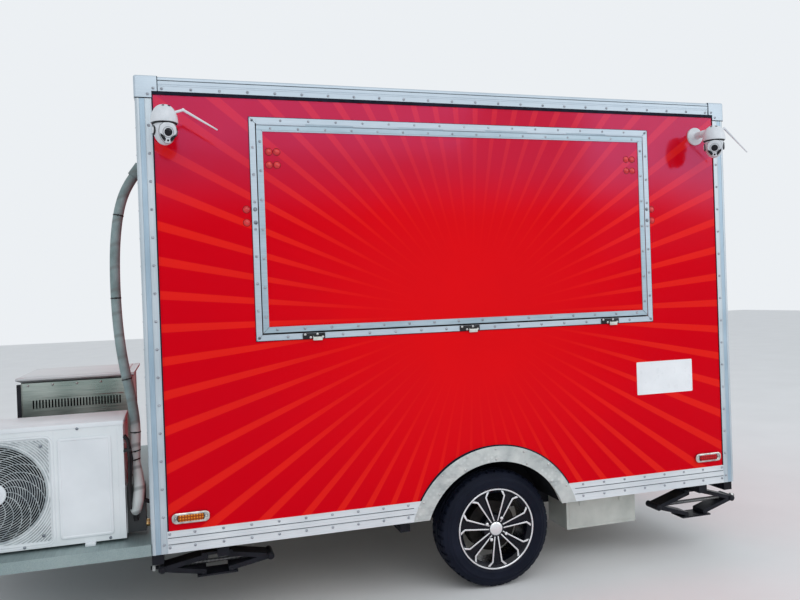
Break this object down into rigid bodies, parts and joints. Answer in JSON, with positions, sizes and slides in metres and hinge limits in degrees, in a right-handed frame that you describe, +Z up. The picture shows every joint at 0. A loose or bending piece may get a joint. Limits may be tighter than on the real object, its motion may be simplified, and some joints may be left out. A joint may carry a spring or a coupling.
{
  "type": "food trailer",
  "caption": "Boxy red concession trailer on a single axle with a serving hatch held by gas struts, rear entry door, and a front deck carrying a cooling unit.",
  "frame": {"origin": "on the ground, under the centre of the whole trailer's bounding box", "axes": "+X towards the trailer's rear, -X towards its tow coupler, -Y the serving hatch side, +Z up"},
  "size_m": [4.716, 2.6632, 2.649],
  "materials": {
    "red_panel": "gloss printed vinyl over sheet",
    "white_panel": "gloss white",
    "plywood_floor": "coated plywood",
    "black_sheet": "matt black",
    "edge_aluminium": "satin extrusion",
    "arch_sheet": "weathered sheet",
    "deck_aluminium": "weathered plate",
    "black_fittings": "black",
    "zinc_steel": "zinc plated",
    "polished_rod": "polished",
    "black_steel": "black paint",
    "galvanised_steel": "galvanised",
    "grey_sheet": "grey sheet, dull",
    "tyre_rubber": "black rubber",
    "wheel_black": "gloss black with machined edges",
    "cast_drum": "cast iron",
    "white_unit": "white powder coat",
    "coil_fins": "finned coil",
    "fan_plastic": "grey",
    "stainless": "brushed stainless",
    "hose_wrap": "grey wrapped insulation",
    "chrome_bezel": "chrome bezel",
    "amber_lens": "amber",
    "red_lens": "red",
    "white_plastic": "white"
  },
  "bodies": {
    "trailer": {"serving_wall": "red_panel", "far_wall": "red_panel", "front_wall": "red_panel", "rear_wall": "red_panel", "floor": "plywood_floor", "roof": "white_panel", "wheel_boxes": "black_sheet", "corner_posts": "edge_aluminium", "corner_caps": "edge_aluminium", "top_rails": "edge_aluminium", "bottom_rails": "edge_aluminium", "arch_trims": "arch_sheet", "opening_trims": "edge_aluminium", "hatch_latches": "black_fittings", "strut_wall_brackets": "zinc_steel", "main_rails": "black_steel", "crossmembers": "galvanised_steel", "tongue_frame": "black_steel", "front_deck": "deck_aluminium", "coupler": "black_steel", "tongue_jack_tube": "zinc_steel", "scissor_jacks": "black_steel", "axle": "black_steel", "underfloor_box": "grey_sheet", "condenser_cabinet": "white_unit", "condenser_coil": "coil_fins", "condenser_grille": "white_unit", "steel_cabinet": "stainless", "cabinet_lid": "stainless", "line_hose": "hose_wrap", "hose_gland": "black_fittings", "marker_bezels": "chrome_bezel", "amber_markers": "amber_lens", "red_markers": "red_lens", "tail_lamps": "red_lens", "security_cameras": "white_plastic", "roof_vent": "white_panel"},
    "hatch": {"hatch_panel": "red_panel", "hatch_edge_trim": "edge_aluminium", "strut_hatch_brackets": "zinc_steel"},
    "strut_front_tube": {"strut_tube_front": "black_fittings"},
    "strut_front_rod": {"strut_rod_front": "polished_rod"},
    "strut_rear_tube": {"strut_tube_rear": "black_fittings"},
    "strut_rear_rod": {"strut_rod_rear": "polished_rod"},
    "door": {"door_panel": "red_panel", "door_edge_trim": "edge_aluminium", "door_handle": "zinc_steel"},
    "wheel_left": {"tyre_left": "tyre_rubber", "rim_left": "wheel_black", "drum_left": "cast_drum"},
    "wheel_right": {"tyre_right": "tyre_rubber", "rim_right": "wheel_black", "drum_right": "cast_drum"},
    "jack_leg": {"tongue_jack_leg": "zinc_steel"},
    "fan": {"condenser_fan": "fan_plastic"}
  },
  "joints": [
    {"name": "hatch_hinge", "type": "hinge", "parent": "trailer", "child": "hatch", "pos_m": [0.6885, -1.1275, 2.325], "axis": [-1, 0, 0], "range_deg": [0, 90]},
    {"name": "strut_front_turn", "type": "hinge", "parent": "hatch", "child": "strut_front_tube", "pos_m": [-0.315, -1.0465, 2.17], "axis": [1, 0, 0], "range_deg": [0, 124.89]},
    {"name": "strut_front_slide", "type": "slide", "parent": "strut_front_tube", "child": "strut_front_rod", "axis": [0, 0, -1], "range_m": [0, 0.148]},
    {"name": "strut_rear_turn", "type": "hinge", "parent": "hatch", "child": "strut_rear_tube", "pos_m": [1.692, -1.0465, 2.17], "axis": [1, 0, 0], "range_deg": [0, 124.89]},
    {"name": "strut_rear_slide", "type": "slide", "parent": "strut_rear_tube", "child": "strut_rear_rod", "axis": [0, 0, -1], "range_m": [0, 0.148]},
    {"name": "door_hinge", "type": "hinge", "parent": "trailer", "child": "door", "pos_m": [2.245, 0.4505, 1.385], "axis": [0, 0, 1], "range_deg": [0, 120]},
    {"name": "wheel_left_spin", "type": "hinge", "parent": "trailer", "child": "wheel_left", "pos_m": [0.818, -0.977, 0.301], "axis": [0, 1, 0], "continuous": true},
    {"name": "wheel_right_spin", "type": "hinge", "parent": "trailer", "child": "wheel_right", "pos_m": [0.818, 1.168, 0.301], "axis": [0, 1, 0], "continuous": true},
    {"name": "tongue_jack_slide", "type": "slide", "parent": "trailer", "child": "jack_leg", "axis": [0, 0, 1], "range_m": [0, 0.25]},
    {"name": "fan_spin", "type": "hinge", "parent": "trailer", "child": "fan", "pos_m": [-1.493, -0.9695, 0.722], "axis": [0, 1, 0], "continuous": true}
  ],
  "couplings": [
    {"joint": "strut_front_turn", "follows": "hatch_hinge", "ratio": 1.3854},
    {"joint": "strut_front_slide", "follows": "hatch_hinge", "m_per_rad": 0.094029},
    {"joint": "strut_rear_turn", "follows": "hatch_hinge", "ratio": 1.3854},
    {"joint": "strut_rear_slide", "follows": "hatch_hinge", "m_per_rad": 0.094029}
  ]
}
